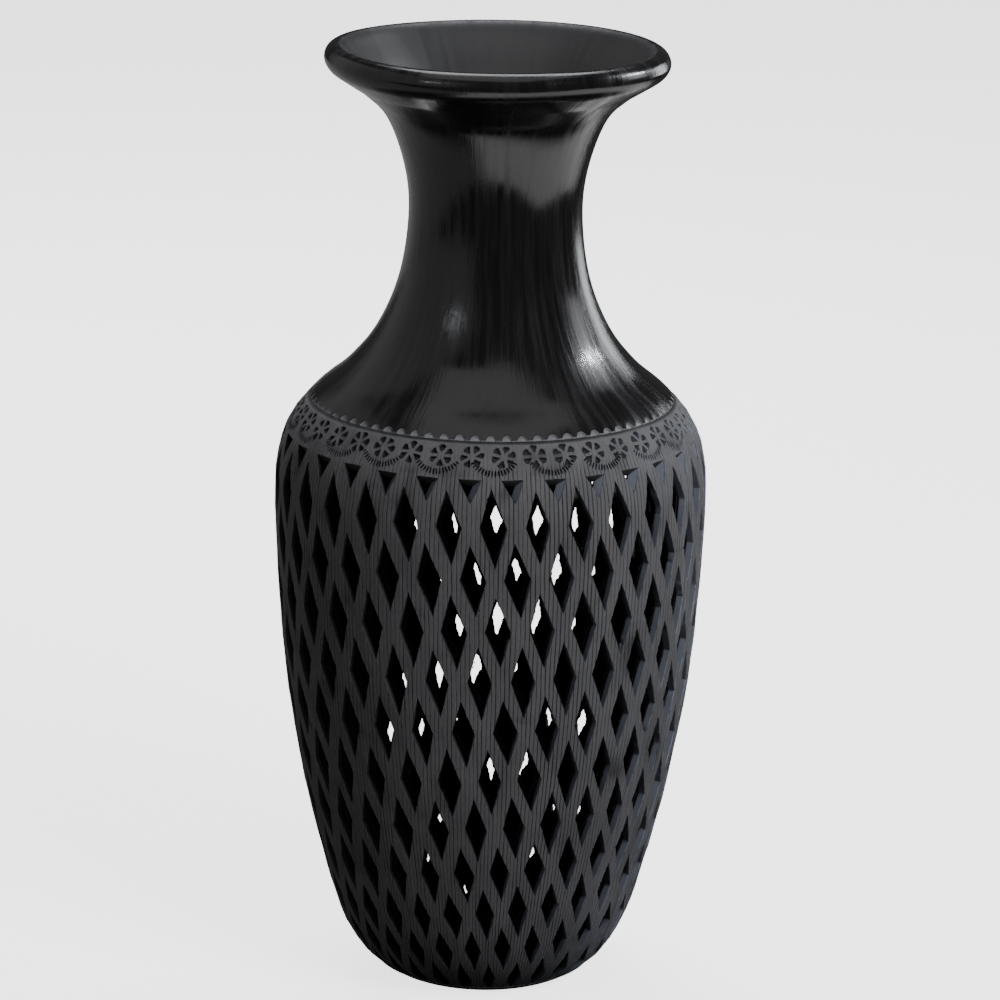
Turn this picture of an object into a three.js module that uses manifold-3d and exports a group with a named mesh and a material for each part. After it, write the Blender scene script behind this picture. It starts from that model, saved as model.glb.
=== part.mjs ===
// An openwork pot of black Oaxacan clay (barro negro), millimetres, +Z up.
// The origin is the middle of the face the pot rests on, and the front looks along -Y.
// The pot is raised in sections that are luted together: a base disc, three pierced courses,
// a stamped shoulder band, a burnished neck and a coiled lip.
import * as THREE from "three";
import { mergeVertices } from "three/addons/utils/BufferGeometryUtils.js";
import Module from "manifold-3d";

const wasm = await Module();
wasm.setup();

// Heights of the joints between sections, from the resting face up.
const joints = {
  disc: 3.5,
  lowerCourse: 80,
  middleCourse: 152,
  upperCourse: 226,
  shoulder: 241,
  neck: 364,
};
const wallThickness = 3.4;
const flats = 32; // round the plain sections
const bandHeights = [joints.upperCourse, 233, joints.shoulder];
const neckHeights = [joints.shoulder, 251, 265, 286, 311, 331, 350.5, joints.neck];

// The outside of the pot, as radius and height, from the foot to the underside of the lip.
const outside = new THREE.SplineCurve([
  new THREE.Vector2(39, 0),
  new THREE.Vector2(50, 9),
  new THREE.Vector2(59, 25),
  new THREE.Vector2(66.5, 50),
  new THREE.Vector2(73.7, 80),
  new THREE.Vector2(80.4, 118),
  new THREE.Vector2(84.5, 160),
  new THREE.Vector2(86, 200),
  new THREE.Vector2(84.4, 217),
  new THREE.Vector2(79.8, 229),
  new THREE.Vector2(70, 240.4),
  new THREE.Vector2(58, 250.5),
  new THREE.Vector2(46.6, 265),
  new THREE.Vector2(38, 286),
  new THREE.Vector2(34.5, 311),
  new THREE.Vector2(36.4, 331),
  new THREE.Vector2(43.6, 350.5),
  new THREE.Vector2(54, 360.8),
  new THREE.Vector2(66, 370.5),
]);

// The lip: a round coil laid on the flare of the neck, sloping down into the mouth.
const lip = {
  radius: 67.8,
  top: 378.4,
  coil: 6,
  arc: [-50, -15, 20, 55, 90], // degrees up the coil's outer side
  throatRun: 4.2,
  throatRise: 9,
};

// The net of diamonds, which leans as it goes down because it is cut freehand.
const net = {
  columns: 31,
  rows: 11, // full diamonds, below the row of triangles
  firstRow: 206.5, // height of the first row of diamonds
  rowDrop: 21,
  footSquash: 0.75, // how the rows close up near the foot
  lean: 0.616, // sideways step from one row down to the next, in columns
  start: -0.48, // where the row of triangles stands, in columns from the front
  rise: 0.8, // how much a row climbs from left to right, per row down
  levelling: 0.35, // how fast that climb dies out in the rows at the foot
  holeWidth: 0.58, // of a column
  holeHeight: 0.71, // of two rows
  holeShrink: 0.016, // of the height, per row down
};
// How far the leaning columns bow sideways, in columns, between two rows.
const bow = {
  front: { most: 0.15, first: 0, last: 8 },
  back: { most: 0.42, first: 2.6, last: 8.5 },
};
const topRow = { top: 225, height: 9.5, width: 0.5, lean: 0.15 }; // triangles; width in columns
const cut = { depth: 60, standOff: 4 }; // how a hole's plug reaches into the pot and out of it
const strutRings = { first: 0, second: 0.45, lift: 0.08 }; // rows where the wall's rings stand

const blackClay = { color: 0x1d1d1f, roughness: 0.62, metalness: 0 };
const burnished = { color: 0x17171a, roughness: 0.22, metalness: 0 };

const pot = new THREE.Group();
const column = (2 * Math.PI) / net.columns;

// The outline's radius and lean from the vertical at a height, found by halving.
function outlineAt(height) {
  let low = 0;
  let high = 1;
  while (high - low > 1e-6) {
    const middle = (low + high) / 2;
    if (outside.getPoint(middle).y < height) low = middle;
    else high = middle;
  }
  const flow = outside.getTangent(low);
  return { radius: outside.getPoint(low).x, slope: Math.atan2(flow.x, flow.y) };
}

// The wall's radius at a depth below its outer face, measured square to the slope.
function faceRadius(height, depth) {
  const { radius, slope } = outlineAt(height);
  return radius - depth / Math.cos(slope);
}

function turned(profile, sides) {
  return new THREE.LatheGeometry(profile, sides).rotateX(Math.PI / 2);
}

// A plain ring of wall through the given heights, from the bottom up.
function ring(heights) {
  const outer = heights.map((z) => new THREE.Vector2(faceRadius(z, 0), z));
  const inner = heights.map((z) => new THREE.Vector2(faceRadius(z, wallThickness), z));
  return turned([...outer, ...inner.reverse(), outer[0]], flats);
}

function toSolid(geometry) {
  geometry.deleteAttribute("normal");
  geometry.deleteAttribute("uv");
  const merged = mergeVertices(geometry, 1e-4);
  const vertProperties = merged.attributes.position.array;
  const triVerts = new Uint32Array(merged.index.array);
  return new wasm.Manifold(new wasm.Mesh({ numProp: 3, vertProperties, triVerts }));
}

function toGeometry(solid) {
  const { vertProperties, triVerts } = solid.getMesh();
  const geometry = new THREE.BufferGeometry();
  geometry.setAttribute("position", new THREE.BufferAttribute(vertProperties, 3));
  geometry.setIndex(new THREE.BufferAttribute(triVerts, 1));
  return geometry;
}

function rowHeight(row) {
  const nearFoot = Math.max(0, row - 7);
  return net.firstRow - net.rowDrop * (row - 1) + net.footSquash * nearFoot ** 2;
}

function rowRise(row) {
  const levelling = 1 - net.levelling * Math.max(0, row - 9);
  return net.rise * row * levelling;
}

function bowAt(row, { most, first, last }) {
  const along = THREE.MathUtils.clamp((row - first) / (last - first), 0, 1);
  return most * Math.sin(Math.PI * along);
}

// How far a row is carried round by the bow of the columns, at a turn round the pot.
function sway(row, turn) {
  const atBack = (1 - Math.cos(turn)) / 2;
  const columns = bowAt(row, bow.front) * (1 - atBack) + bowAt(row, bow.back) * atBack;
  return -columns * column;
}

// A closed body with the wall's face at a depth. Its edges run down the middle of the struts
// and its rings follow the rows, so that few of them meet a hole.
function netBody(depth) {
  const rows = [strutRings.first, strutRings.second];
  for (let row = 1; row <= net.rows + 1; row += 1) rows.push(row);
  rows.reverse();
  const steps = [0, ...rows.map(() => 1), 0];
  const body = turned(
    steps.map((step, index) => new THREE.Vector2(step, index)),
    net.columns,
  );
  const places = body.attributes.position;
  const point = new THREE.Vector3();
  for (let index = 0; index < places.count; index += 1) {
    point.fromBufferAttribute(places, index);
    const level = THREE.MathUtils.clamp((index % steps.length) - 1, 0, rows.length - 1);
    const row = rows[level] - strutRings.lift;
    const strutTurn = (net.start + 0.5 - (1 - net.lean) * row) * column;
    const straight = Math.atan2(point.x, -point.y) + strutTurn;
    const turn = straight + sway(row, straight);
    const out = Math.round(Math.hypot(point.x, point.y));
    const height = rowHeight(row) + out * rowRise(row) * Math.sin(turn);
    const radius = out * faceRadius(height, depth);
    places.setXYZ(index, radius * Math.sin(turn), -radius * Math.cos(turn), height);
  }
  return toSolid(body);
}

// A pointed plug through the wall, square to it, which narrows inwards as a knife cut does.
function plug({ sides, halfWidth, halfHeight, lean, turn, height }) {
  const { radius, slope } = outlineAt(height);
  const length = cut.depth + cut.standOff;
  const spread = length / cut.depth;
  const solid = new THREE.ConeGeometry(1, length, sides, 1, false, Math.PI);
  return solid
    .rotateX(-Math.PI / 2)
    .scale(halfWidth * spread, halfHeight * spread, 1)
    .applyMatrix4(new THREE.Matrix4().makeShear(0, 0, -lean, 0, 0, 0))
    .translate(0, 0, cut.standOff - length / 2)
    .rotateX(slope)
    .translate(0, 0, radius)
    .rotateX(Math.PI / 2)
    .rotateZ(turn)
    .translate(0, 0, height);
}

function diamond(row, height) {
  const { radius, slope } = outlineAt(height);
  const gap = (rowHeight(row - 1) - rowHeight(row + 1)) / 2 / Math.cos(slope);
  const halfHeight = net.holeHeight * gap * (1 - net.holeShrink * row);
  const halfWidth = (net.holeWidth * column * radius) / 2;
  const lean = ((net.lean - 0.5) * column * radius) / gap;
  return { sides: 4, halfWidth, halfHeight, lean };
}

function triangle(height) {
  const halfWidth = (topRow.width * column * outlineAt(height).radius) / Math.sqrt(3);
  return { sides: 3, halfWidth, halfHeight: topRow.height / 1.5, lean: topRow.lean };
}

// Every hole of the net, with the height of its middle and how far it reaches up and down.
function cutHoles() {
  const holes = [];
  const spare = 1.2;
  for (let row = 0; row <= net.rows; row += 1) {
    for (let at = 0; at < net.columns; at += 1) {
      const straight = (at + net.start + net.lean * row) * column;
      const turn = straight + sway(row, straight);
      const level = row === 0 ? topRow.top - topRow.height / 3 : rowHeight(row);
      const height = level + rowRise(row) * Math.sin(turn);
      const form = row === 0 ? triangle(height) : diamond(row, height);
      holes.push({
        solid: toSolid(plug({ ...form, turn, height })),
        height,
        reach: spare * form.halfHeight,
      });
    }
  }
  return holes;
}

const netWall = netBody(0).subtract(netBody(wallThickness));
const holes = cutHoles();

// One course of the net between two joints.
function course(bottom, top) {
  const width = 4 * outlineAt(top).radius;
  const slab = new THREE.BoxGeometry(width, width, top - bottom);
  slab.translate(0, 0, (top + bottom) / 2);
  let wall = netWall.intersect(toSolid(slab));
  for (const hole of holes) {
    const inside = hole.height + hole.reach > bottom && hole.height - hole.reach < top;
    if (inside) wall = wall.subtract(hole.solid);
  }
  return toGeometry(wall);
}

// The disc the pot stands on; its edge carries the foot's curve.
function baseDisc() {
  const edge = [0, joints.disc].map((z) => new THREE.Vector2(faceRadius(z, 0), z));
  return turned([new THREE.Vector2(0, 0), ...edge, new THREE.Vector2(0, joints.disc)], flats);
}

// The coil's round outer side and top, and the slope down into the mouth.
function lipCoil() {
  const middle = new THREE.Vector2(lip.radius - lip.coil, lip.top - lip.coil);
  const round = lip.arc.map((degrees) => {
    const angle = THREE.MathUtils.degToRad(degrees);
    const arm = new THREE.Vector2(Math.cos(angle), Math.sin(angle)).multiplyScalar(lip.coil);
    return arm.add(middle);
  });
  const under = new THREE.Vector2(faceRadius(joints.neck, 0), joints.neck);
  const mouth = new THREE.Vector2(faceRadius(joints.neck, wallThickness), joints.neck);
  const throat = new THREE.Vector2(mouth.x + lip.throatRun, mouth.y + lip.throatRise);
  return turned([under, ...round, throat, mouth, under], flats);
}

function addPiece(name, geometry, finish) {
  const piece = new THREE.Mesh(geometry, new THREE.MeshStandardMaterial(finish));
  piece.name = name;
  pot.add(piece);
}

addPiece("base_disc", baseDisc(), blackClay);
addPiece("lower_pierced_wall", course(joints.disc, joints.lowerCourse), blackClay);
addPiece("middle_pierced_wall", course(joints.lowerCourse, joints.middleCourse), blackClay);
addPiece("upper_pierced_wall", course(joints.middleCourse, joints.upperCourse), blackClay);
addPiece("shoulder_band", ring(bandHeights), blackClay);
addPiece("burnished_neck", ring(neckHeights), burnished);
addPiece("lip_coil", lipCoil(), burnished);

export default pot;
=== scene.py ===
import math
import random

import bpy
import numpy as np
from mathutils import Matrix, Vector


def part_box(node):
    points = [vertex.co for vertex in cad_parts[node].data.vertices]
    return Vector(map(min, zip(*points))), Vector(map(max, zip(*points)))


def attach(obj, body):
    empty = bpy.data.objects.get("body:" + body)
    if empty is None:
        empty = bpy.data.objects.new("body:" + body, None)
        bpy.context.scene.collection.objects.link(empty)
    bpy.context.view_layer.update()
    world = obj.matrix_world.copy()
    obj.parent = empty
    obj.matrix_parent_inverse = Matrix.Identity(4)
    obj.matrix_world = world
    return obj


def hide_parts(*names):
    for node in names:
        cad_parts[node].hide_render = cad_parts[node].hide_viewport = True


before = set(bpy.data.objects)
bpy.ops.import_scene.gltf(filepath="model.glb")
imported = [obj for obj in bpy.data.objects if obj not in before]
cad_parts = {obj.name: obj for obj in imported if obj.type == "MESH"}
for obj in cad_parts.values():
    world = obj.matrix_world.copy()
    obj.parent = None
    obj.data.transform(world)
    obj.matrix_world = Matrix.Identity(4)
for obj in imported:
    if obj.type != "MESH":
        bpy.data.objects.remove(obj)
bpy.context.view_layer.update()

mm = 0.001
fullTurn = 2 * math.pi

# the pot's outside, radius and height in mm, from the foot to the underside of the lip
outlinePoints = [
    (39, 0), (50, 9), (59, 25), (66.5, 50), (73.7, 80), (80.4, 118), (84.5, 160), (86, 200),
    (84.4, 217), (79.8, 229), (70, 240.4), (58, 250.5), (46.6, 265), (38, 286), (34.5, 311),
    (36.4, 331), (43.6, 350.5), (54, 360.8), (66, 370.5),
]
wall = {"thickness": 3.4, "rough": 1.6, "bottom": 3.5, "incisedLine": 237.4, "incisedDepth": 0.8}


# a smooth curve through the points, in the same form as the outline of the frame
def roundCurve(points, steps):
    p = np.array([points[0], *points, points[-1]], float)
    t = np.linspace(0, 1, steps, endpoint=False)[:, None]
    spans = []
    for a, b, c, d in zip(p, p[1:], p[2:], p[3:]):
        pull, push = (c - a) / 2, (d - b) / 2
        spans.append((2 * b - 2 * c + pull + push) * t**3
                     + (3 * c - 3 * b - 2 * pull - push) * t**2 + pull * t + b)
    return np.vstack([*spans, p[-1:]])


outline = roundCurve(outlinePoints, 40)
outlineSlope = np.arctan(np.gradient(outline[:, 0], outline[:, 1]))
outlineLength = np.concatenate([[0], np.cumsum(np.hypot(*np.diff(outline, axis=0).T))])


def radiusAt(height):
    return np.interp(height, outline[:, 1], outline[:, 0])


def slopeAt(height):
    return np.interp(height, outline[:, 1], outlineSlope)


# height of the place that lies some way down the wall from the incised line
def heightBelow(way):
    start = np.interp(wall["incisedLine"], outline[:, 1], outlineLength)
    return float(np.interp(start - way, outlineLength, outline[:, 1]))


# a place on the outside and the way a tool faces there: turn from the front, height in mm
def seat(turn, height, sink=0.0, spin=0.0):
    radius, slope = float(radiusAt(height)), float(slopeAt(height))
    outward = Vector((math.sin(turn), -math.cos(turn), 0))
    across = Vector((math.cos(turn), math.sin(turn), 0))
    square = outward * math.cos(slope) - Vector((0, 0, math.sin(slope)))
    up = Vector((0, 0, math.cos(slope))) + outward * math.sin(slope)
    place = outward * radius + Vector((0, 0, height)) - square * sink
    facing = Matrix((across, up, square)).transposed() @ Matrix.Rotation(spin, 3, "Z")
    return place * mm, facing.to_euler()


# how far each point lies below the plain outside, in mm, for the finishes to read
def markDepth(thing):
    mesh = thing.data
    places = np.empty(len(mesh.vertices) * 3, np.float32)
    mesh.vertices.foreach_get("co", places)
    x, y, z = places.reshape(-1, 3).T / mm
    below = (radiusAt(z) - np.hypot(x, y)) * np.cos(slopeAt(z))
    marked = mesh.attributes.new("below", "FLOAT", "POINT").data
    marked.foreach_set("value", below.astype(np.float32))


def addObject(name, mesh):
    thing = bpy.data.objects.new(name, mesh)
    bpy.context.scene.collection.objects.link(thing)
    return thing


# a turned body from rings of (radius, height) in mm; a fan of faces closes each end
def turnedMesh(name, rings, turns, closed=False, warp=None):
    rings = np.array(rings, float)
    columns = len(turns)
    ring, turn = np.meshgrid(np.arange(len(rings)), turns, indexing="ij")
    radius, height = rings[ring, 0], rings[ring, 1]
    if warp:
        radius, height = warp(radius, height, turn)
    points = np.stack([radius * np.sin(turn), -radius * np.cos(turn), height], -1).reshape(-1, 3)
    nextRing = (ring + 1) % len(rings)
    nextTurn = (np.arange(columns) + 1) % columns
    spans = len(rings) if closed else len(rings) - 1
    a = (ring * columns + np.arange(columns))[:spans].ravel()
    b = (ring * columns + nextTurn)[:spans].ravel()
    c = (nextRing * columns + nextTurn)[:spans].ravel()
    d = (nextRing * columns + np.arange(columns))[:spans].ravel()
    faces = np.stack([a, b, c, d], -1).tolist()
    points = points.tolist()
    ends = [] if closed else [(0, -1), (len(rings) - 1, 1)]
    for end, way in ends:
        hub, first = len(points), end * columns
        points.append((0, 0, rings[end, 1]))
        for at in range(columns):
            faces.append((hub, first + at, first + (at + 1) % columns)[::way])
    mesh = bpy.data.meshes.new(name)
    mesh.from_pydata((np.array(points) * mm).tolist(), [], faces)
    mesh.update()
    return mesh


def evenTurns(columns):
    return np.arange(columns) * fullTurn / columns


# a socket that can be written in sums; an expression adds its Math nodes
class Amount:
    def __init__(self, recipe, socket):
        self.recipe, self.socket = recipe, socket

    def maths(self, operation, *values):
        return self.recipe.add("ShaderNodeMath", {"operation": operation}, dict(enumerate(values)))

    def __add__(self, other):
        return self.maths("ADD", self, other)

    def __radd__(self, other):
        return self.maths("ADD", other, self)

    def __sub__(self, other):
        return self.maths("SUBTRACT", self, other)

    def __rsub__(self, other):
        return self.maths("SUBTRACT", other, self)

    def __mul__(self, other):
        return self.maths("MULTIPLY", self, other)

    def __rmul__(self, other):
        return self.maths("MULTIPLY", other, self)

    # 0 below low, 1 above high
    def between(self, low, high):
        inputs = {"Value": self, "From Min": low, "From Max": high}
        return self.recipe.add("ShaderNodeMapRange", {"interpolation_type": "SMOOTHSTEP"}, inputs)


# a node tree and the one way its nodes are made
class Recipe:
    def __init__(self, tree):
        self.tree = tree

    def add(self, kind, settings=None, inputs=None, out=0):
        node = self.tree.nodes.new(kind)
        for name, value in (settings or {}).items():
            setattr(node, name, value)
        for name, value in (inputs or {}).items():
            socket = node.inputs[name]
            if isinstance(value, Amount):
                self.tree.links.new(value.socket, socket)
            else:
                socket.default_value = value
        return Amount(self, node.outputs[out])

    def vector(self, operation, *values, out=0):
        settings = {"operation": operation}
        return self.add("ShaderNodeVectorMath", settings, dict(enumerate(values)), out)

    def mixColour(self, factor, first, second):
        inputs = {"Factor": factor, 6: first, 7: second}
        return self.add("ShaderNodeMix", {"data_type": "RGBA"}, inputs, 2)

    def noise(self, vector, scale, detail=2.0, roughness=0.5, out=0):
        inputs = {"Vector": vector, "Scale": scale, "Detail": detail, "Roughness": roughness}
        return self.add("ShaderNodeTexNoise", {}, inputs, out)


def newTree(name, sockets):
    tree = bpy.data.node_groups.new(name, "GeometryNodeTree")
    tree.interface.new_socket("Geometry", in_out="OUTPUT", socket_type="NodeSocketGeometry")
    tree.interface.new_socket("Geometry", in_out="INPUT", socket_type="NodeSocketGeometry")
    for label, kind in sockets.items():
        tree.interface.new_socket(label, in_out="INPUT", socket_type=f"NodeSocket{kind}")
    recipe = Recipe(tree)
    entry = tree.nodes.new("NodeGroupInput")
    given = {socket.name: Amount(recipe, socket) for socket in entry.outputs if socket.name}
    return recipe, given


def endTree(recipe, geometry, clay):
    whole = recipe.add("GeometryNodeRealizeInstances", {}, {"Geometry": geometry})
    painted = recipe.add("GeometryNodeSetMaterial", {}, {"Geometry": whole, "Material": clay})
    leave = recipe.tree.nodes.new("NodeGroupOutput")
    recipe.tree.links.new(painted.socket, leave.inputs[0])
    return recipe.tree


def applyTree(thing, tree, values):
    modifier = thing.modifiers.new(tree.name, "NODES")
    modifier.node_group = tree
    for item in tree.interface.items_tree:
        if item.in_out == "INPUT" and item.name in values:
            modifier[item.identifier] = values[item.name]


# the object's finished mesh with its trees worked in and taken off
def settle(thing):
    whole = thing.evaluated_get(bpy.context.evaluated_depsgraph_get())
    mesh = bpy.data.meshes.new_from_object(whole)
    thing.modifiers.clear()
    old, thing.data = thing.data, mesh
    bpy.data.meshes.remove(old)
    mesh.name = thing.name
    return thing


def shadeCut(thing, degrees):
    thing.data.polygons.foreach_set("use_smooth", [True] * len(thing.data.polygons))
    thing.data.set_sharp_from_angle(angle=math.radians(degrees))


# the comb's grooves: marked columns sink, and the strokes wander a little
def combTree():
    recipe, given = newTree("comb", {"Depth": "Float", "Wander": "Float", "Clay": "Material"})
    place = recipe.add("GeometryNodeInputPosition")
    normal = recipe.add("GeometryNodeInputNormal")
    groove = recipe.add("GeometryNodeInputNamedAttribute", {"data_type": "FLOAT"}, {"Name": "groove"})
    uneven = recipe.noise(place, 220.0)
    depth = groove * given["Depth"] * (0.35 + 1.3 * uneven)
    drift = recipe.vector("SUBTRACT", recipe.noise(place, 70.0, out=1), (0.5, 0.5, 0.5))
    drift = recipe.vector("MULTIPLY", drift, (1, 1, 0))
    drift = recipe.add("ShaderNodeVectorMath", {"operation": "SCALE"},
                       {0: drift, "Scale": given["Wander"]})
    sink = recipe.add("ShaderNodeVectorMath", {"operation": "SCALE"},
                      {0: normal, "Scale": 0.0 - depth})
    offset = recipe.vector("ADD", drift, sink)
    combed = recipe.add("GeometryNodeSetPosition", {},
                        {"Geometry": given["Geometry"], "Offset": offset})
    return endTree(recipe, combed, given["Clay"])


# cuts or presses a die at every mark, with a hand's unevenness
def dieTree():
    recipe, given = newTree("press_dies", {
        "Marks": "Object", "Die": "Object", "Size Jitter": "Float", "Turn Jitter": "Float",
        "Wander": "Float", "Seed": "Int", "Clay": "Material"})
    marks = recipe.add("GeometryNodeObjectInfo", {}, {"Object": given["Marks"]}, "Geometry")
    die = recipe.add("GeometryNodeObjectInfo", {}, {"Object": given["Die"]}, "Geometry")
    attribute = {"data_type": "FLOAT_VECTOR"}
    facing = recipe.add("GeometryNodeInputNamedAttribute", attribute, {"Name": "facing"})
    size = recipe.add("GeometryNodeInputNamedAttribute", attribute, {"Name": "size"})
    turnSpread = recipe.add("ShaderNodeCombineXYZ", {}, {"Z": given["Turn Jitter"]})
    sizeSpread = recipe.add("ShaderNodeCombineXYZ", {}, {"X": given["Size Jitter"],
                                                         "Y": given["Size Jitter"]})
    lot = {"data_type": "FLOAT_VECTOR"}
    slack = recipe.add("FunctionNodeRandomValue", lot, {"Min": (-1, -1, -1), "Max": (1, 1, 1),
                                                        "Seed": given["Seed"]})
    nudge = recipe.add("FunctionNodeEulerToRotation", {},
                       {"Euler": recipe.vector("MULTIPLY", slack, turnSpread)})
    rotation = recipe.add("FunctionNodeRotateRotation", {"rotation_space": "LOCAL"}, {
        "Rotation": recipe.add("FunctionNodeEulerToRotation", {}, {"Euler": facing}),
        "Rotate By": nudge})
    swell = recipe.vector("MULTIPLY_ADD", slack, sizeSpread, (1, 1, 1))
    dies = recipe.add("GeometryNodeInstanceOnPoints", {}, {
        "Points": marks, "Instance": die, "Rotation": rotation,
        "Scale": recipe.vector("MULTIPLY", size, swell)})
    dies = recipe.add("GeometryNodeRealizeInstances", {}, {"Geometry": dies})
    place = recipe.add("GeometryNodeInputPosition")
    drift = recipe.vector("SUBTRACT", recipe.noise(place, 260.0, out=1), (0.5, 0.5, 0.5))
    drift = recipe.add("ShaderNodeVectorMath", {"operation": "SCALE"},
                       {0: drift, "Scale": given["Wander"]})
    dies = recipe.add("GeometryNodeSetPosition", {}, {"Geometry": dies, "Offset": drift})
    cut = recipe.add("GeometryNodeMeshBoolean", {"operation": "DIFFERENCE", "solver": "MANIFOLD"},
                     {"Mesh 1": given["Geometry"], "Mesh 2": dies})
    return endTree(recipe, cut, given["Clay"])


# small lumps of clay laid at marks, each turned and sized its own way
def crumbTree():
    recipe, given = newTree("crumbs", {"Crumb": "Object", "Seed": "Int", "Clay": "Material"})
    crumb = recipe.add("GeometryNodeObjectInfo", {}, {"Object": given["Crumb"]}, "Geometry")
    lot = {"data_type": "FLOAT_VECTOR"}
    turn = recipe.add("FunctionNodeRandomValue", lot, {"Max": (6.3, 6.3, 6.3), "Seed": given["Seed"]})
    size = recipe.add("FunctionNodeRandomValue", lot, {
        "Min": (0.4, 0.3, 0.3), "Max": (1.5, 0.8, 0.8), "Seed": given["Seed"] + 1})
    laid = recipe.add("GeometryNodeInstanceOnPoints", {}, {
        "Points": given["Geometry"], "Instance": crumb, "Scale": size,
        "Rotation": recipe.add("FunctionNodeEulerToRotation", {}, {"Euler": turn})})
    return endTree(recipe, laid, given["Clay"])


# points with the way their tool faces and its size
def marksObject(name, marks):
    mesh = bpy.data.meshes.new(name)
    mesh.from_pydata([tuple(place) for place, facing, size in marks], [], [])
    for label, index in (("facing", 1), ("size", 2)):
        values = mesh.attributes.new(label, "FLOAT_VECTOR", "POINT").data
        values.foreach_set("vector", np.array([mark[index][:] for mark in marks], float).ravel())
    return addObject(name, mesh)


# a die from flat outlines; each level has a height in mm, a share of the outline and a shift
def dieObject(name, outlines, levels):
    points, faces = [], []
    for shape in outlines:
        shape = np.array(shape, float)
        middle = shape.mean(axis=0)
        first, count = len(points), len(shape)
        for height, share, *shift in levels:
            for x, y in middle + (shape - middle) * share + (shift or (0, 0)):
                points.append((x, y, height * mm))
        for level in range(len(levels) - 1):
            low = first + level * count
            for at in range(count):
                after = (at + 1) % count
                faces.append((low + at, low + after, low + count + after, low + count + at))
        faces.append([first + at for at in range(count)][::-1])
        faces.append([first + (len(levels) - 1) * count + at for at in range(count)])
    mesh = bpy.data.meshes.new(name)
    mesh.from_pydata(points, [], faces)
    mesh.update()
    return addObject(name, mesh)


def dropHelpers(*things):
    for thing in things:
        bpy.data.objects.remove(thing)


# the finishes
def surfaceOf(name):
    material = bpy.data.materials.new(name)
    material.use_nodes = True
    material.node_tree.nodes.clear()
    recipe = Recipe(material.node_tree)
    place = recipe.add("ShaderNodeTexCoord", out="Object")
    return material, recipe, place


def finishSurface(material, recipe, inputs):
    shader = recipe.add("ShaderNodeBsdfPrincipled", {}, inputs)
    leave = material.node_tree.nodes.new("ShaderNodeOutputMaterial")
    material.node_tree.links.new(shader.socket, leave.inputs["Surface"])
    return material


# a place measured round the pot, so that streaks run down the wall and never meet a seam
def roundPlace(recipe, place, across, down):
    flat = recipe.vector("MULTIPLY", place, (1, 1, 0))
    around = recipe.add("ShaderNodeVectorMath", {"operation": "SCALE"},
                        {0: recipe.vector("NORMALIZE", flat), "Scale": across})
    return recipe.vector("MULTIPLY_ADD", place, (0, 0, down), around)


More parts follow.
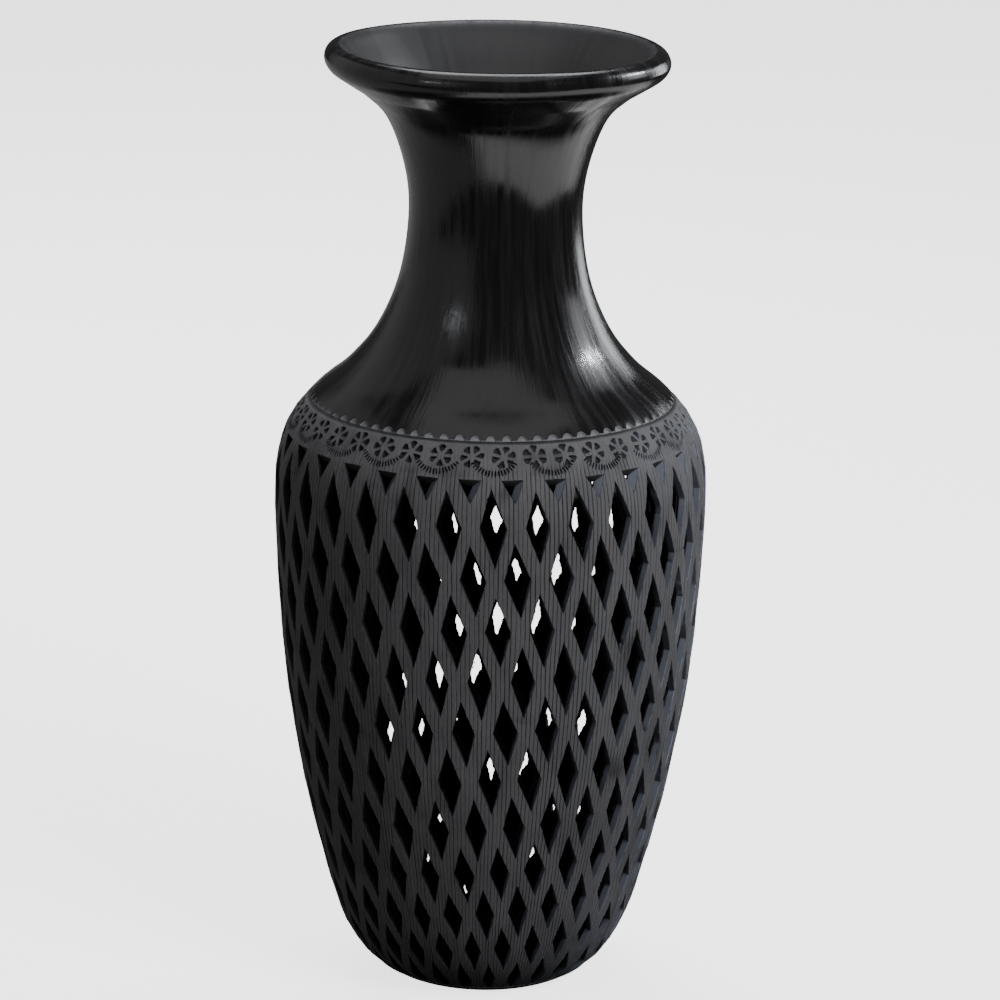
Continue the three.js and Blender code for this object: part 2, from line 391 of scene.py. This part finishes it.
def combedClay():
    look = {"dark": (0.080, 0.079, 0.082, 1), "light": (0.135, 0.134, 0.139, 1),
            "cut": (0.06, 0.06, 0.064, 1), "paintedLitSide": (0.31, 0.335, 0.41, 1),
            "paintedShade": (0.0015, 0.0015, 0.0015, 1)}
    # how a face is turned, as cosines, then heights in metres, then depths in mm
    facingSpan = {"cut": (0.35, 0.65), "facet": (0.3, 0.5), "facingLeft": (0.15, 0.6)}
    heightSpan = {"triangles": (0.2165, 0.218), "stamps": (0.2245, 0.2262)}
    depthSpan = {"groove": (0.06, 0.34), "stamp": (0.15, 0.8), "pocket": (0.7, 2.3),
                 "facet": (3.0, 3.5), "paintedLitSide": (2.2, 3.2), "facetEdge": (0.4, 0.8)}
    dry = {"rough": 0.60, "dragRough": 0.2, "litSideGloss": 0.25, "deepRough": 0.3,
           "grooveShade": 0.55, "stampShade": 0.45, "cutShadeShare": 0.8}
    material, recipe, place = surfaceOf("combed_clay")
    normal = recipe.add("ShaderNodeNewGeometry", out="Normal")
    below = recipe.add("ShaderNodeAttribute", {"attribute_name": "below"}, out="Fac")
    height = recipe.add("ShaderNodeSeparateXYZ", {}, {"Vector": place}, "Z")
    outward = recipe.vector("NORMALIZE", recipe.vector("MULTIPLY", place, (1, 1, 0)))
    facing = recipe.vector("DOT_PRODUCT", normal, outward, out="Value")
    cutFace = 1 - facing.maths("ABSOLUTE", facing).between(*facingSpan["cut"])
    facet = facing.between(*facingSpan["facet"]) * height.between(*heightSpan["triangles"])
    # the cut faces and triangle facets turned to the left are painted pale bluish, painted light from
    # the left, and are made smoother
    across = recipe.vector("CROSS_PRODUCT", (0, 0, 1), outward)
    aside = recipe.vector("DOT_PRODUCT", normal, across, out="Value")
    facingLeft = (0 - aside).between(*facingSpan["facingLeft"])
    paintedLitSide = (cutFace + facet * below.between(*depthSpan["facetEdge"])) * facingLeft
    otherFaces = (1 - facet) * (1 - paintedLitSide)
    # painted shade: the hole walls turn black with depth; facets and the painted lit side turn black
    # only deeper down
    deep = (below.between(*depthSpan["pocket"]) * otherFaces + below.between(*depthSpan["facet"]) * facet
            + below.between(*depthSpan["paintedLitSide"]) * paintedLitSide * (1 - facet))
    groove = below.between(*depthSpan["groove"])
    stamped = below.between(*depthSpan["stamp"]) * height.between(*heightSpan["stamps"])
    cloud = recipe.noise(place, 38.0, 4.0)
    fine = recipe.noise(place, 900.0, 3.0)
    drag = recipe.noise(roundPlace(recipe, place, 42.0, 60.0), 6.0, 3.0)
    tone = (cloud * 0.6 + drag * 0.5 + fine * 0.25).between(0.35, 0.95)
    colour = recipe.mixColour(tone, look["dark"], look["light"])
    # painted shade: the walls of the holes are painted darker than the outer face
    colour = recipe.mixColour(cutFace * dry["cutShadeShare"], colour, look["cut"])
    # painted light: pale bluish colour on the cut faces and facets turned to the left
    colour = recipe.mixColour(paintedLitSide, colour, look["paintedLitSide"])
    # painted shade: grooves, stamp recesses and deep pockets are mixed towards near-black
    colour = recipe.mixColour(groove * dry["grooveShade"], colour, look["paintedShade"])
    colour = recipe.mixColour(stamped * dry["stampShade"], colour, look["paintedShade"])
    colour = recipe.mixColour(deep, colour, look["paintedShade"])
    roughness = (dry["rough"] + dry["dragRough"] * drag - dry["litSideGloss"] * paintedLitSide
                 + dry["deepRough"] * deep)
    bump = recipe.add("ShaderNodeBump", {}, {
        "Strength": 0.35, "Distance": 0.00025, "Height": fine * 0.5 + drag * (1 - cutFace)})
    return finishSurface(material, recipe, {
        "Base Color": colour, "Roughness": roughness, "Normal": bump, "IOR": 1.5,
        "Specular IOR Level": 0.25})


def burnishedClay():
    look = {"dark": (0.005, 0.005, 0.0053, 1), "light": (0.013, 0.0125, 0.0135, 1),
            "pressed": (0.16, 0.16, 0.17, 1), "satin": (0.024, 0.0235, 0.025, 1)}
    rub = {"rough": 0.12, "strokeRough": 0.16, "patchRough": 0.10, "insideRough": 0.26,
           "pressedRough": 0.25, "insideSmooth": 0.8, "fineShare": 0.6, "dentShare": 0.8}
    notches = {"depth": (0.05, 0.2), "top": (0.2425, 0.2435)}  # depth in mm, top in metres
    material, recipe, place = surfaceOf("burnished_clay")
    normal = recipe.add("ShaderNodeNewGeometry", out="Normal")
    below = recipe.add("ShaderNodeAttribute", {"attribute_name": "below"}, out="Fac")
    height = recipe.add("ShaderNodeSeparateXYZ", {}, {"Vector": place}, "Z")
    outward = recipe.vector("NORMALIZE", recipe.vector("MULTIPLY", place, (1, 1, 0)))
    facing = recipe.vector("DOT_PRODUCT", normal, outward, out="Value")
    inside = 1 - facing.between(-0.45, -0.1)
    pressed = below.between(*notches["depth"]) * (1 - height.between(*notches["top"]))
    stroke = recipe.noise(roundPlace(recipe, place, 1.0, 1.6), 16.0, 4.0, 0.6)
    fineStroke = recipe.noise(roundPlace(recipe, place, 1.0, 0.9), 90.0, 3.0)
    patch = recipe.noise(place, 30.0, 2.0)
    dent = recipe.noise(place, 55.0, 1.0)
    colour = recipe.mixColour(stroke.between(0.3, 0.7), look["dark"], look["light"])
    colour = recipe.mixColour(inside, colour, look["satin"])
    colour = recipe.mixColour(pressed, colour, look["pressed"])
    roughness = (rub["rough"] + rub["strokeRough"] * stroke.between(0.35, 0.75)
                 + rub["patchRough"] * patch.between(0.45, 0.8) + rub["insideRough"] * inside
                 + rub["pressedRough"] * pressed)
    strokes = (fineStroke * rub["fineShare"] + stroke) * (1 - rub["insideSmooth"] * inside)
    bump = recipe.add("ShaderNodeBump", {}, {
        "Strength": 0.22, "Distance": 0.0005, "Height": strokes + dent * rub["dentShare"]})
    return finishSurface(material, recipe, {
        "Base Color": colour, "Roughness": roughness, "Normal": bump, "IOR": 1.55})


# paper with a glow that sets in some way out from a middle near the pot; the clear middle is a
# painted shadow of the pot on the table
def floorPaper(name, glow, pale, clear):
    paper = {"middle": (0.1, 0.1, 0), "fade": 0.15, "cloud": 0.04}
    material, recipe, place = surfaceOf(name)
    tone = recipe.noise(place, 3.0)
    cloudy = pale + paper["cloud"]
    colour = recipe.mixColour(tone, (pale, pale, pale, 1), (cloudy, cloudy, cloudy, 1))
    flat = recipe.vector("MULTIPLY", place, (1, 1, 0))
    away = recipe.vector("DISTANCE", flat, paper["middle"], out="Value")
    # painted shadow: no glow within clear of the middle, where the pot shades the table
    lit = away.between(clear, clear + paper["fade"])
    lit = recipe.mixColour(lit, (0, 0, 0, 1), (1, 1, 1, 1))
    return finishSurface(material, recipe, {
        "Base Color": colour, "Roughness": 0.8, "Emission Color": lit, "Emission Strength": glow})


matteClay = combedClay()
glossClay = burnishedClay()
print("finishes made")

# the net of holes, in columns round the pot and rows down from the shoulder
net = {
    "columns": 31, "rows": 11, "firstRow": 206.5, "rowDrop": 21, "footSquash": 0.75,
    "lean": 0.616, "start": -0.48, "rise": 0.8, "levelling": 0.35, "holeWidth": 0.60,
    "holeHeight": 0.76, "holeShrink": 0.016,
}
bow = {"front": (0.15, 0, 8), "back": (0.42, 2.6, 8.5)}  # most, in columns; from row; to row
column = fullTurn / net["columns"]


def rowHeight(row):
    return (net["firstRow"] - net["rowDrop"] * (row - 1)
            + net["footSquash"] * max(0, row - 7) ** 2)


def rowRise(row):
    return net["rise"] * row * (1 - net["levelling"] * max(0, row - 9))


def bowAt(row, most, first, last):
    return most * math.sin(math.pi * min(1, max(0, (row - first) / (last - first))))


# where a hole of a row stands round the pot; the leaning columns bow a little
def holeTurn(row, at):
    turn = (at + net["start"] + net["lean"] * row) * column
    atBack = (1 - math.cos(turn)) / 2
    columns = bowAt(row, *bow["front"]) * (1 - atBack) + bowAt(row, *bow["back"]) * atBack
    return turn - columns * column


def diamondSize(row, height):
    slope = float(slopeAt(height))
    gap = (rowHeight(row - 1) - rowHeight(row + 1)) / 2 / math.cos(slope)
    halfWidth = net["holeWidth"] * column * float(radiusAt(height)) / 2
    return halfWidth, net["holeHeight"] * gap * (1 - net["holeShrink"] * row)


def holeSeats():
    for row in range(1, net["rows"] + 1):
        for at in range(net["columns"]):
            turn = holeTurn(row, at)
            yield row, turn, rowHeight(row) + rowRise(row) * math.sin(turn)


# a straight-sided outline with its sides stepped, so that a cut can wander
def sided(corners, steps):
    shape = []
    for (x, y), (nextX, nextY) in zip(corners, corners[1:] + corners[:1]):
        for step in range(steps):
            part = step / steps
            shape.append((x + (nextX - x) * part, y + (nextY - y) * part))
    return shape


diamondCorners = [(-1, 0), (0.27, -1), (1, 0), (-0.27, 1)]


# the diamonds as a knife opens them from outside, down to the rough inner skin
def carveDiamonds(body, tree, clay):
    pocket = {"depth": 2.8, "floorShare": 0.93}
    outline = sided(diamondCorners, 5)
    plug = dieObject("diamond_plug", [outline],
                     [(-pocket["depth"], pocket["floorShare"]), (0, 1.0), (3, 1.05)])
    marks = []
    for row, turn, height in holeSeats():
        place, facing = seat(turn, height)
        halfWidth, halfHeight = diamondSize(row, height)
        marks.append((place, facing, (halfWidth * mm, halfHeight * mm, 1)))
    holes = marksObject("diamond_marks", marks)
    applyTree(body, tree, {"Marks": holes, "Die": plug, "Size Jitter": 0.06, "Turn Jitter": 0.03,
                           "Wander": 0.0008, "Seed": 4, "Clay": clay})
    return [plug, holes]


# the knife's point breaks through the skin in a smaller, ragged mouth
def breakThrough(body, tree, clay):
    mouth = {"frontShare": 0.82, "backShare": 0.56, "footShare": 0.6, "footRow": 9,
             "shift": 0.12, "ragged": 0.10}
    draw = random.Random(8)
    ragged = []
    for x, y in sided(diamondCorners, 7):
        share = 1 + draw.uniform(-mouth["ragged"], mouth["ragged"])
        ragged.append((x * share, y * share))
    die = dieObject("mouth_die", [ragged], [(-9, 0.95), (-1, 1.0)])
    marks = []
    for row, turn, height in holeSeats():
        halfWidth, halfHeight = diamondSize(row, height)
        away = (1 - math.cos(turn)) / 2
        share = mouth["frontShare"] + (mouth["backShare"] - mouth["frontShare"]) * away
        if row >= mouth["footRow"]:
            share *= mouth["footShare"]
        aside = draw.uniform(-mouth["shift"], mouth["shift"]) * halfWidth
        place, facing = seat(turn + aside / float(radiusAt(height)),
                             height + draw.uniform(-mouth["shift"], mouth["shift"]) * halfHeight)
        marks.append((place, facing, (share * halfWidth * mm, share * halfHeight * mm, 1)))
    mouths = marksObject("mouth_marks", marks)
    applyTree(body, tree, {"Marks": mouths, "Die": die, "Size Jitter": 0.12, "Turn Jitter": 0.05,
                           "Wander": 0.0022, "Seed": 6, "Clay": clay})
    return [die, mouths]


# the top row: chip-carved triangles, pointing down, deepest at the lower left
def carveTriangles(body, tree, clay):
    triangle = {"top": 225.3, "height": 10.2, "width": 0.56}
    outline = sided([(-1, 0.5), (0.2, -1), (1, 0.5)], 4)
    plug = dieObject("triangle_plug", [outline], [
        (-9, 0.30, (-0.34, -0.10)), (-3.2, 0.46, (-0.30, -0.08)), (0, 1.0), (2, 1.3, (0.15, 0.05))])
    marks = []
    for at in range(net["columns"]):
        place, facing = seat(holeTurn(0, at), triangle["top"] - triangle["height"] / 3)
        halfWidth = triangle["width"] * column * float(radiusAt(triangle["top"])) / 2
        marks.append((place, facing, (halfWidth * mm, triangle["height"] / 1.5 * mm, 1)))
    holes = marksObject("triangle_marks", marks)
    applyTree(body, tree, {"Marks": holes, "Die": plug, "Size Jitter": 0.05, "Turn Jitter": 0.04,
                           "Wander": 0.0004, "Seed": 9, "Clay": clay})
    return [plug, holes]


# the flower stamp: six wedges that leave a star of ribs between them
def stampFlowers(body, tree, clay):
    flower = {"count": 40, "down": 6.2, "inner": 0.8, "outer": 4.8, "petals": 6, "depth": 1.3,
              "rib": 0.55}
    wedges = []
    for petal in range(flower["petals"]):
        swing = Matrix.Rotation(petal * fullTurn / flower["petals"], 2)
        half = math.pi / flower["petals"]
        sideAt = [r * math.tan(half) - flower["rib"] / math.cos(half)
                  for r in (1.6, flower["outer"] - 0.9)]
        wedge = [(1.25, 0), (1.6, -max(0.1, sideAt[0])), (flower["outer"] - 0.9, -sideAt[1]),
                 (flower["outer"] - 0.1, -0.6 * sideAt[1]), (flower["outer"], 0),
                 (flower["outer"] - 0.1, 0.6 * sideAt[1]), (flower["outer"] - 0.9, sideAt[1]),
                 (1.6, max(0.1, sideAt[0]))]
        wedges.append([tuple(swing @ Vector(point)) for point in wedge])
    die = dieObject("flower_die", wedges, [(-flower["depth"], 0.6), (0, 1.0), (0.8, 1.1)])
    marks = []
    for at in range(flower["count"]):
        turn = (at + 0.4) * fullTurn / flower["count"]
        place, facing = seat(turn, heightBelow(flower["down"] + 0.25 * math.sin(5 * at)), 0, 0.7 * at)
        marks.append((place, facing, (mm, mm, 1)))
    prints = marksObject("flower_marks", marks)
    applyTree(body, tree, {"Marks": prints, "Die": die, "Size Jitter": 0.04, "Turn Jitter": 0.3,
                           "Wander": 0.0011, "Seed": 12, "Clay": clay})
    return [die, prints]


# scallops printed with a toothed edge below the flowers
def stampScallops(body, tree, clay):
    scallop = {"count": 22, "centreDown": 2.9, "radius": 10.2, "spread": 53, "teeth": 16}
    tooth = {"length": 1.5, "width": 0.42, "depth": 1.0}
    ring = [(tooth["width"] * math.copysign(abs(math.cos(a)) ** 0.6, math.cos(a)),
             tooth["length"] * math.sin(a)) for a in (np.arange(8) + 0.5) * fullTurn / 8]
    die = dieObject("tooth_die", [ring], [(-tooth["depth"], 0.55), (0, 1.0), (0.6, 1.2)])
    marks = []
    for at in range(scallop["count"]):
        middle = (at + 0.05 + 0.08 * math.sin(3 * at)) * fullTurn / scallop["count"]
        for step in range(scallop["teeth"]):
            part = 2 * step / (scallop["teeth"] - 1) - 1
            swing = math.radians(scallop["spread"] * part)
            down = scallop["centreDown"] + scallop["radius"] * math.cos(swing)
            height = heightBelow(down)
            turn = middle + scallop["radius"] * math.sin(swing) / float(radiusAt(height))
            place, facing = seat(turn, height, 0, swing)
            marks.append((place, facing, (mm, (1 - 0.35 * part ** 4) * mm, 1)))
    prints = marksObject("tooth_marks", marks)
    applyTree(body, tree, {"Marks": prints, "Die": die, "Size Jitter": 0.12, "Turn Jitter": 0.06,
                           "Wander": 0.0002, "Seed": 21, "Clay": clay})
    return [die, prints]


# half-round notches that stand on the incised line, deepest at the line
def stampNotches(body, tree, clay):
    notch = {"count": 75, "halfWidth": 2.3, "height": 3.0, "depth": 0.8, "drop": 0.35}
    arc = [(notch["halfWidth"] * math.cos(a), notch["height"] * (math.sin(a) - notch["drop"]))
           for a in np.linspace(0, math.pi, 9)]
    die = dieObject("notch_die", [arc], [
        (-notch["depth"], 0.70, (0, -0.55)), (0.15, 1.0), (0.9, 1.12, (0, 0.2))])
    marks = []
    for at in range(notch["count"]):
        place, facing = seat(at * fullTurn / notch["count"],
                             heightBelow(-0.3 - notch["drop"] * notch["height"]))
        marks.append((place, facing, (mm, mm, 1)))
    prints = marksObject("notch_marks", marks)
    applyTree(body, tree, {"Marks": prints, "Die": die, "Size Jitter": 0.10, "Turn Jitter": 0.06,
                           "Wander": 0.0003, "Seed": 33, "Clay": clay})
    return [die, prints]


# takes one solid out of another
def takeAwayTree():
    recipe, given = newTree("take_away", {"Taken": "Object", "Clay": "Material"})
    taken = recipe.add("GeometryNodeObjectInfo", {}, {"Object": given["Taken"]}, "Geometry")
    cut = recipe.add("GeometryNodeMeshBoolean", {"operation": "DIFFERENCE", "solver": "MANIFOLD"},
                     {"Mesh 1": given["Geometry"], "Mesh 2": taken})
    cut = recipe.add("GeometryNodeTriangulate", {}, {"Mesh": cut})
    return endTree(recipe, cut, given["Clay"])


dies = dieTree()
takeAway = takeAwayTree()


def makeNetWall():
    comb = {"grooves": 300, "half": 0.14, "depth": 0.36, "wander": 1.1, "ringStep": 5.4}
    line = wall["incisedLine"]
    heights = [*np.arange(wall["bottom"], line - 1.2, comb["ringStep"]), line - 1.0]
    rings = [(float(radiusAt(z)), z) for z in heights]
    rings.append((float(radiusAt(line)) - wall["incisedDepth"], line))
    pitch = fullTurn / comb["grooves"]
    offsets = np.array([-comb["half"], 0, comb["half"], 0.5])
    turns = ((np.arange(comb["grooves"])[:, None] + offsets) * pitch).ravel()
    body = addObject("pierced_body", turnedMesh("pierced_body", rings, turns))
    # the comb bears harder on some teeth, and hardly at all in the band
    bite = np.random.default_rng(2).uniform(0.5, 1.3, comb["grooves"])
    columnShare = (bite[:, None] * np.array([0, 1, 0, 0])).ravel()
    ringShare = np.interp([z for r, z in rings], [0, 224, 228, 238], [1, 1, 0.35, 0.1])
    ringShare[-1] = 0
    marked = body.data.attributes.new("groove", "FLOAT", "POINT").data
    hubs = (0, 0)  # the middles of the two end faces have no groove
    marked.foreach_set("value", [*(ringShare[:, None] * columnShare[None, :]).ravel(), *hubs])
    applyTree(body, combTree(), {"Depth": comb["depth"] * mm, "Wander": comb["wander"] * mm,
                                 "Clay": matteClay})

    inner = np.arange(wall["bottom"] - 2, line + 6, 4.0)
    thickness = wall["thickness"] + np.interp(inner, [4, 14, 212, 228], [0, 1, 1, 0]) * wall["rough"]
    bore = [(float(radiusAt(z) - deep / math.cos(float(slopeAt(z)))), z)
            for z, deep in zip(inner, thickness)]
    hollow = addObject("hollow", turnedMesh("hollow", bore, evenTurns(4 * net["columns"])))
    applyTree(body, takeAway, {"Taken": hollow, "Clay": matteClay})
    helpers = [hollow]
    for tool in (carveDiamonds, breakThrough, carveTriangles, stampFlowers, stampScallops):
        helpers += tool(body, dies, matteClay)
    settle(body)
    dropHelpers(*helpers)
    print("pierced wall", len(body.data.polygons))
    return body


# the wall's courses from the foot up, and the node of the frame that each stands for
courses = {"lower_course": "lower_pierced_wall", "middle_course": "middle_pierced_wall",
           "upper_course": "upper_pierced_wall", "stamped_shoulder": "shoulder_band"}


# the whole wall parted at the heights where its courses meet, each course closed
def partCourses(body, tree):
    block = {"outline": [(-0.2, -0.2), (0.2, -0.2), (0.2, 0.2), (-0.2, 0.2)], "lowest": -10,
             "highest": 250, "reach": 300}
    boxes = [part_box(node) for node in courses.values()]
    seams = [(lower[1][2] + upper[0][2]) / 2 / mm for lower, upper in zip(boxes, boxes[1:])]
    pieces = []
    for name, low, high in zip(courses, [block["lowest"], *seams], [*seams, block["highest"]]):
        piece = addObject(name, body.data.copy())
        under = [(low - block["reach"], 1.0), (low, 1.0)]
        over = [(high, 1.0), (high + block["reach"], 1.0)]
        helpers = [dieObject("under", [block["outline"]], under),
                   dieObject("over", [block["outline"]], over)]
        for helper in helpers:
            applyTree(piece, tree, {"Taken": helper, "Clay": matteClay})
        settle(piece)
        dropHelpers(*helpers)
        markDepth(piece)
        shadeCut(piece, 32)
        print(name, len(piece.data.polygons))
        pieces.append(piece)
    dropHelpers(body)
    return pieces


# crumbs of clay left at the inner edges of the cuts
def makeCrumbs():
    crumb = {"perHole": 2.2, "depth": 3.2, "size": 0.5, "reach": 0.86, "lowest": 8}
    draw = random.Random(5)
    marks = []
    for row, turn, height in holeSeats():
        halfWidth, halfHeight = diamondSize(row, height)
        for lump in range(int(crumb["perHole"] + draw.random())):
            side = draw.randrange(4)
            part = draw.random()
            (x, y), (nextX, nextY) = diamondCorners[side], diamondCorners[(side + 1) % 4]
            x, y = x + (nextX - x) * part, y + (nextY - y) * part
            spot = turn + crumb["reach"] * x * halfWidth / float(radiusAt(height))
            level = height + crumb["reach"] * y * halfHeight
            place, facing = seat(spot, level, crumb["depth"] + draw.uniform(-0.3, 0.5))
            if level > crumb["lowest"]:
                marks.append((place, facing, (1, 1, 1)))
    lumps = marksObject("clay_crumbs", marks)
    bpy.ops.mesh.primitive_ico_sphere_add(subdivisions=1, radius=crumb["size"] * mm)
    lump = bpy.context.object
    for vertex in lump.data.vertices:
        vertex.co *= 1 + draw.uniform(-0.3, 0.3)
    applyTree(lumps, crumbTree(), {"Crumb": lump, "Seed": 3, "Clay": matteClay})
    settle(lumps)
    dropHelpers(lump)
    markDepth(lumps)
    print("crumbs", len(lumps.data.polygons))
    return lumps


# the neck with its lip and mouth, turned and burnished by hand
def makeNeck():
    neck = {"columns": 320, "step": 2.5, "sway": 0.22, "rimSway": 0.45, "rimDrop": 0.35,
            "stillFoot": 3, "swayRise": 20, "rimStart": 355, "rimRise": 20}
    line = wall["incisedLine"]
    outer = [(float(radiusAt(z)), z) for z in np.arange(line + 0.8, 360, neck["step"])]
    lip = roundCurve([(54, 360.8), (60.5, 364.9), (65.8, 368.6), (67.8, 372.6), (66.6, 376.4),
                      (63.4, 378.3), (60.2, 377.2), (56.6, 373.2), (51, 366.5), (46.3, 360.2)], 5)
    bore = [(float(radiusAt(z) - wall["thickness"] / math.cos(float(slopeAt(z)))), z)
            for z in np.arange(neck["rimStart"], line, -neck["step"])]
    foot = [(bore[-1][0] + 1.5, line), (float(radiusAt(line)) - wall["incisedDepth"], line)]
    rings = [*outer, *lip.tolist(), *bore, *foot]

    def handTurned(radius, height, turn):
        share = np.clip((height - line - neck["stillFoot"]) / neck["swayRise"], 0, 1)
        sway = (np.sin(2 * turn + 0.9 + height / 45) + 0.6 * np.sin(3 * turn + height / 30)
                + 0.4 * np.sin(5 * turn - height / 18))
        rim = np.clip((height - neck["rimStart"]) / neck["rimRise"], 0, 1)
        wave = np.sin(turn + 2.6) + 0.5 * np.sin(3 * turn + 0.4)
        tilt = neck["rimSway"] * wave - neck["rimDrop"]
        return radius + share * neck["sway"] * sway, height + rim * tilt

    turns = evenTurns(neck["columns"])
    mesh = turnedMesh("burnished_neck_and_lip", rings, turns, True, handTurned)
    body = addObject("burnished_neck_and_lip", mesh)
    helpers = stampNotches(body, dies, glossClay)
    settle(body)
    dropHelpers(*helpers)
    markDepth(body)
    shadeCut(body, 35)
    print("neck", len(body.data.polygons))
    return body


# the disc it stands on, with its edge wiped round
def makeFootDisc():
    disc = {"columns": 248, "top": wall["bottom"], "edge": 1.2}
    edge = float(radiusAt(disc["top"]))
    rings = [(edge * 0.5, disc["top"]), (edge - 0.3, disc["top"]),
             (edge, disc["top"] - 0.3),
             (float(radiusAt(2)), 2.0), (float(radiusAt(0.9)) - 0.1, 0.9),
             (float(radiusAt(0)) - 0.2, 0.25), (float(radiusAt(0)) - disc["edge"], 0),
             (20, 0)]
    body = addObject("foot_disc", turnedMesh("foot_disc", rings[::-1], evenTurns(disc["columns"])))
    body.data.materials.append(matteClay)
    markDepth(body)
    shadeCut(body, 35)
    return body


wallCourses = partCourses(makeNetWall(), takeAway)
crumbs = makeCrumbs()
neckAndLip = makeNeck()
footDisc = makeFootDisc()

for course, node in zip(wallCourses, courses.values()):
    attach(course, "root")
    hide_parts(node)
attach(crumbs, "root")
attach(neckAndLip, "root")
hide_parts("burnished_neck", "lip_coil")
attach(footDisc, "root")
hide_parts("base_disc")
print("pieces on the frame")


# a sheet of the studio's floor; reach is left, front, right and back, drop is how far it lies
# below the pot's foot, all in metres
def makeFloor(name, reach, drop, glow, pale, clear):
    left, front, right, back = reach
    mesh = bpy.data.meshes.new(name)
    mesh.from_pydata([(left, front, -drop), (right, front, -drop), (right, back, -drop),
                      (left, back, -drop)], [], [(0, 1, 2, 3)])
    mesh.materials.append(floorPaper(name, glow, pale, clear))
    return addObject(name, mesh)


# a soft panel that faces the pot's middle: turn in degrees from the front, positive to the
# right, then metres away and up, width and height in metres, and its brightness
def addPanel(name, turn, away, height, size, glow, tint=(1, 1, 1)):
    light = bpy.data.lights.new(name, "AREA")
    light.shape, light.size, light.size_y = "RECTANGLE", size[0], size[1]
    light.energy, light.color = glow * math.pi * size[0] * size[1], tint
    thing = addObject(name, light)
    angle = math.radians(turn)
    thing.location = (away * math.sin(angle), -away * math.cos(angle), height)
    target = Vector((0, 0, 0.25))
    thing.rotation_euler = (target - thing.location).to_track_quat("-Z", "Y").to_euler()
    thing.visible_camera = False
    return thing


def makeStudio():
    seenFloor = makeFloor("studio_floor", (-6, -6, 6, 6), drop=0, glow=2.4, pale=0.86, clear=-1)
    seenFloor.visible_glossy = seenFloor.visible_diffuse = False
    # the burnished neck mirrors a bright table and a dim floor, which nothing else sees
    mirrored = [
        makeFloor("studio_paper_reflected", (-0.12, -0.47, 0.8, 0.5), drop=0.0005, glow=1.5,
                  pale=0.1, clear=0.2),
        makeFloor("studio_shade_reflected", (-3, -0.45, -0.12, 3), drop=0.0005, glow=0.3,
                  pale=0.1, clear=0.35)]
    for floor in mirrored:
        floor.visible_diffuse = floor.visible_camera = False
    addPanel("panel_left", -84, 1.5, 0.9, (5.2, 1.7), 0.30)
    addPanel("panel_behind", 176, 0.9, 1.9, (1.3, 0.8), 5.0, (0.93, 0.96, 1))
    addPanel("gap_left", -45, 1.6, 1.02, (0.045, 0.22), 26.0, (0.9, 0.95, 1))
    # these show in the burnished neck and don't light the dry clay
    shining = [
        addPanel("panel_right", 106, 1.6, 0.95, (0.60, 0.95), 3.0, (0.95, 0.97, 1)),
        addPanel("window_right", 137, 1.7, 0.42, (0.46, 0.74), 5.0, (0.93, 0.96, 1)),
        addPanel("bright_pane", 112, 1.6, 1.05, (0.11, 0.13), 260.0, (0.9, 0.95, 1)),
        addPanel("panel_above", -20, 0.3, 2.2, (2.0, 2.0), 0.75)]
    for panel in shining:
        panel.visible_diffuse = False
    # these light the dry clay and don't show in the burnished neck
    fills = [
        addPanel("soft_fill", 43, 1.3, 1.2, (0.7, 0.7), 17.0, (0.97, 0.98, 1)),
        addPanel("rear_fill", -160, 1.3, 1.2, (0.7, 0.7), 8.0, (0.97, 0.98, 1))]
    for fill in fills:
        fill.visible_glossy = False
    air = {"dim": 0.05, "seen": 3.0}
    world = bpy.data.worlds.new("studio_air")
    bpy.context.scene.world = world
    world.use_nodes = True
    world.node_tree.nodes.clear()
    recipe = Recipe(world.node_tree)
    seen = recipe.add("ShaderNodeLightPath", out="Is Camera Ray")
    strength = air["dim"] + air["seen"] * seen
    sky = recipe.add("ShaderNodeBackground", {}, {"Color": (1, 1, 1, 1), "Strength": strength})
    leave = world.node_tree.nodes.new("ShaderNodeOutputWorld")
    world.node_tree.links.new(sky.socket, leave.inputs["Surface"])


def makeCamera():
    shot = {"away": 1.84, "elevation": 15.5, "aim": 0.1924, "lens": 165.6, "roll": 1.02,
            "sensor": 36, "shift": (0.0098, 0.005)}
    camera = addObject("studio_camera", bpy.data.cameras.new("studio_camera"))
    elevation = math.radians(shot["elevation"])
    aim = Vector((0, 0, shot["aim"]))
    camera.location = aim + shot["away"] * Vector((0, -math.cos(elevation), math.sin(elevation)))
    level = (aim - camera.location).to_track_quat("-Z", "Y").to_matrix()
    camera.rotation_euler = (level @ Matrix.Rotation(math.radians(shot["roll"]), 3, "Z")).to_euler()
    camera.data.lens, camera.data.sensor_width = shot["lens"], shot["sensor"]
    camera.data.shift_x, camera.data.shift_y = shot["shift"]
    bpy.context.scene.camera = camera


makeStudio()
makeCamera()
print("studio set")
